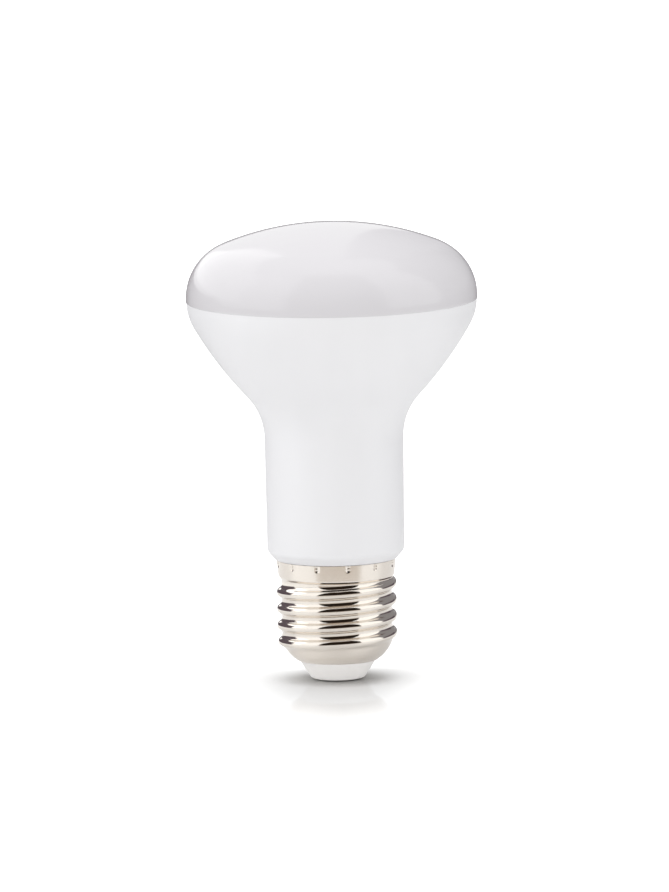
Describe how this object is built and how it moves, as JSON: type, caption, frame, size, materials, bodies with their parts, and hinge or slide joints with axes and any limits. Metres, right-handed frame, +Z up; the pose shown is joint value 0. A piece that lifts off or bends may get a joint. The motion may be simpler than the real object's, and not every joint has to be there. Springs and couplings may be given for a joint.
{
  "type": "reflector bulb",
  "caption": "Mains reflector lamp: opal domed front on a white housing that flares from a straight neck, with a nickel-plated screw cap, an insulator and a centre contact.",
  "frame": {"origin": "middle of the centre contact's flat face, the lamp's lowest point", "axes": "+Z up the lamp's axis from the contact to the domed front; the lamp is round, so X and Y only set where the thread starts; -Y is the side that the picture shows"},
  "size_m": [0.0632, 0.0632, 0.1],
  "materials": {
    "contact_metal": "nickel-plated disc, satin",
    "insulator_plastic": "white moulded plastic, low gloss",
    "nickel_plate": "bright nickel plate on rolled sheet",
    "housing_plastic": "white moulded plastic, fine satin",
    "opal_plastic": "opal white plastic, smooth"
  },
  "bodies": {
    "root": {"centre_contact": "contact_metal", "insulator": "insulator_plastic", "screw_shell": "nickel_plate", "housing": "housing_plastic", "diffuser": "opal_plastic"}
  },
  "joints": []
}
